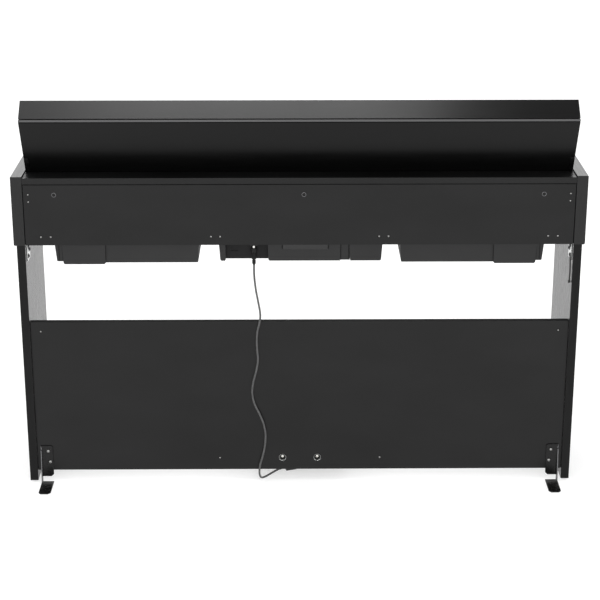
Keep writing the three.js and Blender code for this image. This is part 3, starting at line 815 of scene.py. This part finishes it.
def white_key_outline(white, joint_left, joint_right, front, shoulder, tail):
    """A white key from above: full width in front, narrower beside the black keys."""
    before, after = black_offset(white - 1), black_offset(white)
    left, right = joint_left + KEY_GAP / 2, joint_right - KEY_GAP / 2
    tail_left = left if before is None else joint_left + before + BESIDE_BLACK
    tail_right = right if after is None else joint_right + after - BESIDE_BLACK
    points = [(right, front), (right, shoulder)]
    if after is not None:
        points.append((tail_right, shoulder))
    points += [(tail_right, tail), (tail_left, tail)]
    if before is not None:
        points.append((tail_left, shoulder))
    points += [(left, shoulder), (left, front)]
    return [Vector((x, y, 0)) for x, y in points]


def make_keys(materials):
    """Each key is a piece of its own that rides on its octave's body."""
    low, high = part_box("white_keys_1")
    last_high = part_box("white_keys_7")[1]
    black_low, black_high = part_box("black_keys_1")
    left_end = low.x - KEY_GAP / 2
    pitch = (last_high.x - low.x + KEY_GAP) / WHITE_KEYS
    bottom = low.z + 1 * MM
    shoulder = black_low.y - 2 * MM
    tail = high.y - 5 * MM
    waist = high.z + 1 * MM
    group = 0
    for white in range(WHITE_KEYS):
        if white >= GROUP_ENDS[group]:
            group += 1
        joint = left_end + white * pitch
        outline = white_key_outline(white, joint, joint + pitch, low.y, shoulder, tail)
        bm = bmesh.new()
        add_prism(bm, outline, (0, 0, bottom), (0, 0, high.z), 0.9 * MM, 3, only_top=True)
        name, body = f"white_key_{white + 1:02d}", f"white_keys_{group + 1}"
        key = finish_piece(name, bm, materials["white_key"], body, 50)
        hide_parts(body)

        offset = black_offset(white)
        if offset is None:
            continue
        bm = bmesh.new()
        x = joint + pitch + offset
        add_black_key(bm, x, black_low.y, black_low.z, waist, black_high.z)
        name, body = f"black_key_after_{white + 1:02d}", f"black_keys_{group + 1}"
        key = finish_piece(name, bm, materials["black_key"], body, 50)
        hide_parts(body)


def add_black_key(bm, x, front, bottom, waist, top):
    """A black key: upright below, tapered above, with a sloping front."""
    base = BLACK_WIDTH / 2
    crown = base - 0.9 * MM
    back = front + BLACK_LENGTH
    rows = [(base, front, bottom), (base, front, waist), (crown, front + 7 * MM, top)]
    rings = []
    for half, y, z in rows:
        corners = ((-1, y), (1, y), (1, back), (-1, back))
        rings.append([bm.verts.new((x + sx * half, yy, z)) for sx, yy in corners])
    faces = [bm.faces.new(list(reversed(rings[0]))), bm.faces.new(rings[-1])]
    for lower, upper in zip(rings, rings[1:]):
        for i in range(4):
            j = (i + 1) % 4
            faces.append(bm.faces.new([lower[i], lower[j], upper[j], upper[i]]))
    edges = {e for f in faces for e in f.edges if max(v.co.z for v in e.verts) > waist - 1e-6}
    round_edges(bm, edges, 1.1 * MM, 4, 0.55)


# ---- screws -------------------------------------------------------------------------------
WASHER_RISE = 0.7 * MM


def put_screw(name, place, normal, radius, materials, metal="screw"):
    """A cross-recess screw with a thin dark washer under its head."""
    bm = bmesh.new()
    head_height = 0.62 * radius
    add_screw(bm, Vector(place) + normal * WASHER_RISE, normal, radius, head_height, 0.7)
    finish_piece(name, bm, materials[metal])
    bm = bmesh.new()
    inner, outer = 0.95 * radius, 1.55 * radius
    profile = [
        (inner, 0.0), (inner, WASHER_RISE), (outer - 0.4 * MM, WASHER_RISE), (outer, 0.3 * MM),
        (outer, 0.0),
    ]
    add_ring(bm, profile, place, normal)
    finish_piece(name + "_washer", bm, materials["enamel"])


def make_panel_screws(materials):
    """The rear panel's screws: two at each end, a row along the bottom, and three cam covers."""
    y = PANEL_HIGH.y
    end_radius, row_radius = 1.9 * MM, 2.1 * MM
    end_x = PANEL_HIGH.x - 13.2 * MM
    for label, x in (("right", end_x), ("left", -end_x)):
        for number, below_top in enumerate((24.7 * MM, 42.7 * MM)):
            place = (x, y, PANEL_HIGH.z - below_top)
            name = f"rear_panel_screw_{label}_{number + 1}"
            put_screw(name, place, BACKWARD, end_radius, materials)
    cam_z = PANEL_HIGH.z - 25.7 * MM
    for number, x in enumerate((576, -10, -574)):
        make_cam_cover(f"rear_panel_cam_{number + 1}", (x * MM, y, cam_z), materials)
    row_z = PANEL_LOW.z + 21 * MM
    for number, x in enumerate((611, 588, 210, 188, -188, -210, -588, -611)):
        name = f"rear_panel_low_screw_{number + 1}"
        put_screw(name, (x * MM, y, row_z), BACKWARD, row_radius, materials)


def make_kick_board_screws(materials):
    """Two screws at the kick board's upper corners, and two low down beside the pedal unit."""
    radius = 2.1 * MM
    upper_x, upper_z = 625 * MM, KICK_HIGH.z - 24 * MM
    lower_x, lower_z = 198 * MM, KICK_LOW.z + 32 * MM
    places = ((upper_x, upper_z), (-upper_x, upper_z), (lower_x, lower_z), (-lower_x, lower_z))
    for number, (x, z) in enumerate(places):
        place = (x, KICK_HIGH.y, z)
        put_screw(f"kick_board_screw_{number + 1}", place, BACKWARD, radius, materials)


def make_foot_screws(side, label, materials):
    """Two screws through a rear foot's plate, placed from its inner upper corner."""
    radius = 3.8 * MM
    plate_y = KICK_HIGH.y + 2.8 * MM
    low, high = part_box(f"stabiliser_{label}")
    inner_x = min(abs(low.x), abs(high.x))
    for number, (outward, down) in enumerate(((11.5, 14), (7.5, 43))):
        place = (side * (inner_x + outward * MM), plate_y, high.z - down * MM)
        name = f"stabiliser_screw_{label}_{number + 1}"
        put_screw(name, place, BACKWARD, radius, materials)


def make_bracket_screws(side, label, materials):
    """Three black screws in a leg bracket's side plate, placed from its rear upper corner."""
    radius = 4 * MM
    plate = 2 * MM
    low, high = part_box(f"leg_bracket_{label}")
    x = high.x - plate if side > 0 else low.x + plate
    for number, (forward, down) in enumerate(((12, 12.7), (24, 23.7), (11, 36.7))):
        place = (x, high.y - forward * MM, high.z - down * MM)
        name = f"bracket_screw_{label}_{number + 1}"
        put_screw(name, place, Vector((-side, 0, 0)), radius, materials, "black_screw")


def make_cam_cover(name, place, materials):
    """The round cover of a cam fastener: a raised ring round a shallow cross slot."""
    inner = 4.1 * MM
    outer = 5.6 * MM
    height = 1.3 * MM
    bm = bmesh.new()
    profile = [
        (inner, 0.0), (inner, 0.7 * height), (inner + 0.3 * MM, height),
        (outer - 0.4 * MM, height), (outer, 0.5 * height), (outer, 0.0),
    ]
    add_ring(bm, profile, place, BACKWARD)
    finish_piece(name + "_ring", bm, materials["dull_zinc"])
    bm = bmesh.new()
    add_screw(bm, place, BACKWARD, inner - 0.2 * MM, 0.6 * MM)
    finish_piece(name + "_slot", bm, materials["enamel"])


def make_pedal_fixings(materials):
    """Bolt heads at the bottom of the kick board's two counterbores, each in a bright liner."""
    depth = 9
    for number, x in enumerate((43 * MM, -43 * MM)):
        place = Vector((x, KICK_HIGH.y - depth * MM, KICK_LOW.z + 32 * MM))
        bm = bmesh.new()
        add_screw(bm, place + BACKWARD * 1.0 * MM, BACKWARD, 4.4 * MM, 3.6 * MM, 0.5)
        finish_piece(f"pedal_fixing_{number + 1}", bm, materials["nickel"])
        bm = bmesh.new()
        seat = [(3.0, 0.2), (3.0, 0.9), (8.0, 0.9), (8.0, 0.2)]
        add_ring(bm, in_mm(seat), place, BACKWARD)
        finish_piece(f"pedal_fixing_seat_{number + 1}", bm, materials["grip"])
        bm = bmesh.new()
        liner = [(8.1, 0.2), (8.2, depth - 0.6), (8.5, depth - 0.2), (8.8, depth - 0.2), (8.8, 0.2)]
        add_ring(bm, in_mm(liner), place, BACKWARD)
        finish_piece(f"pedal_fixing_liner_{number + 1}", bm, materials["zinc"])


# ---- small pieces -------------------------------------------------------------------------
def make_lid_plates(materials):
    """Thin steel plates on the lid's outer face at its pivot ends, drawn with the lid closed."""
    hinge = next(j for j in frame["joints"] if j["name"] == "lid_hinge")
    pivot = Vector(hinge["pos_m"])
    opening = -math.radians(hinge["range_deg"][1])
    turn = Matrix.Translation(pivot) @ Matrix.Rotation(opening, 4, "X")
    lid_low, lid_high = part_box("lid_panel")
    face = 20.3 * MM    # the lid's outer face above its pivot
    front, back = -70 * MM, 8 * MM
    for side, end, inward in (("left", lid_low.x, 1), ("right", lid_high.x, -1)):
        x0, x1 = sorted((end + inward * 0.4 * MM, end + inward * 10.5 * MM))
        bm = bmesh.new()
        add_box(bm, (x0, front, face - 0.2 * MM), (x1, back, face + 0.9 * MM), 0.4 * MM)
        bm.transform(turn)
        finish_piece(f"lid_edge_plate_{side}", bm, materials["enamel"], LID)


COVER_LEFT = 40 * MM
COVER_RIGHT = -67 * MM


def make_socket_cover(materials):
    """A cover plate over the middle casing's upper edge, leaning back a little, with the flanges'
    painted sheen.
    """
    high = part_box("socket_case")[1]
    side_view = ((-0.5, 1), (0.9, 1), (2.4, 19), (1.6, 20), (-2.6, 20))
    outline = [(0, high.y + back * MM, high.z - down * MM) for back, down in side_view]
    bm = bmesh.new()
    add_prism(bm, outline, (COVER_RIGHT, 0, 0), (COVER_LEFT, 0, 0), 0.5 * MM)
    # the flanges' brighter copy of the casing finish: painted sheen
    finish_piece("socket_cover", bm, materials["flange"])


FLANGE_DROP = 7 * MM        # from a casing's top to the bottom of its flange
BLOCK_FACE = 1.5 * MM       # from the flange's rear face to the casing's nearest face
LOW_FACE = 6.5 * MM         # and to the lower face beside it
SPEAKER_STEP_UP = 8.5 * MM  # from a speaker casing's lowest point to its lower face's foot
CASE_LEAN = math.tan(math.radians(5))


def make_shade_line(name, casing, x, set_back, bottom_drop, materials):
    """A narrow dark strip down a casing's leaning back, on a face that is set back by so much: painted
    shade where the back steps.
    """
    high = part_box(casing)[1]
    half_width = 1.3 * MM
    half_depth = 0.6 * MM
    outline = []
    for drop, way in ((FLANGE_DROP, 1), (bottom_drop, 1), (bottom_drop, -1), (FLANGE_DROP, -1)):
        y = high.y - set_back - drop * CASE_LEAN + way * half_depth
        outline.append((0, y, high.z - drop))
    bm = bmesh.new()
    add_prism(bm, outline, (x - half_width, 0, 0), (x + half_width, 0, 0), 0.25 * MM)
    # painted shade: a deep black strip where the step or the gap throws shade
    finish_piece(name, bm, materials["grip"])


def make_case_shade_lines(materials):
    """Painted shade lines where the casings' backs step down, and painted shadow at the gaps at the
    cover plate's ends.
    """
    for side, name in ((-1, "speaker_case_left"), (1, "speaker_case_right")):
        low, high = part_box(name)
        outer = max(abs(low.x), abs(high.x))
        bottom_drop = high.z - low.z - SPEAKER_STEP_UP
        for number, inset in enumerate((18.5 * MM, 10 * MM)):
            x = side * (outer - inset)
            make_shade_line(f"{name}_seam_{number + 1}", name, x, LOW_FACE, bottom_drop, materials)
    low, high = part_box("socket_case")
    bottom_drop = high.z - low.z - 1 * MM
    for number, x in enumerate((-98.3 * MM, -117.5 * MM)):
        name = f"socket_case_seam_{number + 1}"
        make_shade_line(name, "socket_case", x, LOW_FACE, bottom_drop, materials)
    for number, x in enumerate((COVER_LEFT + 1.5 * MM, COVER_RIGHT - 1.5 * MM)):
        name = f"socket_cover_gap_{number + 1}"
        make_shade_line(name, "socket_case", x, BLOCK_FACE, 19 * MM, materials)


def make_strap(materials):
    """A thin tie that hangs inside one leg from its bracket, with a bead at its end."""
    low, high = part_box("leg_bracket_left")
    x = low.x + 5 * MM
    y = high.y + 4 * MM
    top = low.z + 19 * MM
    length = 70 * MM
    sway = 2.2 * MM
    half_width, half_thickness = 1.7 * MM, 0.55 * MM
    steps = 14
    corners = ((-1, -1), (1, -1), (1, 1), (-1, 1))
    bm = bmesh.new()
    rings = []
    for i in range(steps + 1):
        share = i / steps
        aside = sway * math.sin(2.4 * share)
        z = top - length * share
        rings.append([bm.verts.new((x + sx * half_width - aside, y + sy * half_thickness, z))
                      for sx, sy in corners])
    bm.faces.new(rings[0])
    bm.faces.new(list(reversed(rings[-1])))
    for above, below in zip(rings, rings[1:]):
        for i in range(4):
            j = (i + 1) % 4
            bm.faces.new([above[i], below[i], below[j], above[j]])
    end = rings[-1][0].co
    bead_low = (end.x - 1.2 * MM, y - 1.6 * MM, end.z - 5 * MM)
    bead_high = (end.x + 4.6 * MM, y + 1.6 * MM, end.z + 1 * MM)
    add_box(bm, bead_low, bead_high, 0.5 * MM)
    finish_piece("hanging_strap", bm, materials["rubber"])


def make_felt(materials):
    """A red felt strip where the keys go under the control panel."""
    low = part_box("control_panel")[0]
    half_length = 610 * MM
    front, back = low.y - 0.6 * MM, low.y + 7 * MM
    bottom, top = low.z - 0.8 * MM, low.z - 0.1 * MM
    bm = bmesh.new()
    add_box(bm, (-half_length, front, bottom), (half_length, back, top), 0.25 * MM)
    finish_piece("key_felt", bm, materials["felt"])


def make_jack_rings(materials):
    """Nickel nuts round the two headphone jacks."""
    low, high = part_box("headphone_box")
    middle = (low.x + high.x) / 2
    z = low.z + 12 * MM
    nut = [(3.3, -3), (3.3, 1.4), (4.9, 1.4), (5.6, 0.7), (5.6, 0.05), (3.9, 0.05), (3.9, -3)]
    for number, x in enumerate((middle - 9 * MM, middle + 9 * MM)):
        bm = bmesh.new()
        add_ring(bm, in_mm(nut), (x, low.y, z), -BACKWARD)
        finish_piece(f"headphone_jack_{number + 1}", bm, materials["nickel"])


def make_slider_line(materials):
    """A pale line across the volume slider's cap."""
    low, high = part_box("volume_slider")
    middle = (low.x + high.x) / 2
    half_width = 0.5 * MM
    margin = 1.2 * MM
    corner = (middle - half_width, low.y + margin, high.z - 0.4 * MM)
    far_corner = (middle + half_width, high.y - margin, high.z + 0.15 * MM)
    bm = bmesh.new()
    add_box(bm, corner, far_corner, 0.1 * MM)
    finish_piece("slider_line", bm, materials["white_key"], "volume_slider")


def make_chips(materials):
    """Chips and capacitors on the main circuit board, placed from its middle in millimetres."""
    low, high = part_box("main_circuit_board")
    middle = (low + high) / 2
    z = high.z + 0.1 * MM
    chips = ((-60, 20, 24, 24), (-10, -30, 14, 20), (40, 25, 16, 10))
    for number, (x, y, width, depth) in enumerate(chips):
        corner = Vector((middle.x + x * MM, middle.y + y * MM, z))
        size = Vector((width, depth, 2)) * MM
        bm = bmesh.new()
        add_box(bm, corner, corner + size, 0.3 * MM)
        finish_piece(f"chip_{number + 1}", bm, materials["case"])
    can = [(0, 0), (4.6, 0), (5, 0.6), (5, 11), (4.4, 11.8), (0, 11.8)]
    for number, (x, y) in enumerate(((70, -50), (84, -50), (70, -34), (-90, -50))):
        bm = bmesh.new()
        add_lathe(bm, in_mm(can), (middle.x + x * MM, middle.y + y * MM, z), 20)
        finish_piece(f"capacitor_{number + 1}", bm, materials["zinc"])


# ---- stage --------------------------------------------------------------------------------
def make_floor():
    """A pale floor that glows a little, so that it stays white under the piano."""
    half_size = 14.0
    bm = bmesh.new()
    bmesh.ops.create_grid(bm, x_segments=2, y_segments=2, size=half_size)
    mesh = bpy.data.meshes.new("floor")
    bm.to_mesh(mesh)
    bm.free()
    floor = bpy.data.objects.new("floor", mesh)
    bpy.context.scene.collection.objects.link(floor)
    floor.location.z = -0.3 * MM
    glow = {"Emission_Color": (1, 1, 1, 1), "Emission_Strength": 0.55}
    finish = Finish("pale_floor", grey(0.5), 0.9, **glow)
    cloud = finish.noise(1.5, 3, 0.5)
    finish.color_between(cloud, grey(0.49), grey(0.51))
    mesh.materials.append(finish.material)


def make_light():
    """A studio that is bright all round and dimmer overhead, with two soft lights above the lid."""
    scene = bpy.context.scene
    scene.view_settings.view_transform = "Standard"
    world = bpy.data.worlds.new("studio")
    scene.world = world
    world.use_nodes = True
    nodes, links = world.node_tree.nodes, world.node_tree.links
    background = nodes["Background"]
    coordinate = nodes.new("ShaderNodeTexCoord")
    split = nodes.new("ShaderNodeSeparateXYZ")
    ramp = nodes.new("ShaderNodeMapRange")
    ramp.interpolation_type = "SMOOTHSTEP"
    ramp.inputs["From Min"].default_value = 0.45
    ramp.inputs["From Max"].default_value = 0.95
    ramp.inputs["To Min"].default_value = 2.3
    ramp.inputs["To Max"].default_value = 0.25
    links.new(coordinate.outputs["Generated"], split.inputs["Vector"])
    links.new(split.outputs["Z"], ramp.inputs["Value"])
    links.new(ramp.outputs["Result"], background.inputs["Strength"])
    background.inputs["Color"].default_value = (1, 1, 1, 1)

    add_softbox("main_softbox", -0.44, 0.68, 6.0)
    add_softbox("side_softbox", 0.68, 1.35, 2.3)


def add_softbox(name, left, right, radiance):
    """A soft light overhead, between two X places."""
    depth = 0.6
    height = 2.25
    behind_piano = 0.13
    data = bpy.data.lights.new(name, "AREA")
    data.shape = "RECTANGLE"
    data.size = right - left
    data.size_y = depth
    data.energy = radiance * math.pi * data.size * depth
    light = bpy.data.objects.new(name, data)
    bpy.context.scene.collection.objects.link(light)
    light.location = ((left + right) / 2, REAR_Y + behind_piano, height)


# ---- build --------------------------------------------------------------------------------
make_camera()
finishes = make_materials()
make_cord(finishes)
dress_nodes(finishes)
make_edge_matt(finishes)
make_leg_edges(finishes)
make_flange_sheen(finishes)
make_recess_shaded(finishes)
make_case_ends_shaded(finishes)
make_fin_edge_highlights(finishes)
make_keys(finishes)
make_panel_screws(finishes)
make_kick_board_screws(finishes)
for leg_side, leg_label in ((1, "right"), (-1, "left")):
    make_foot_screws(leg_side, leg_label, finishes)
    make_bracket_screws(leg_side, leg_label, finishes)
make_pedal_fixings(finishes)
make_lid_plates(finishes)
make_socket_cover(finishes)
make_case_shade_lines(finishes)
make_strap(finishes)
make_felt(finishes)
make_jack_rings(finishes)
make_slider_line(finishes)
make_chips(finishes)
make_floor()
make_light()
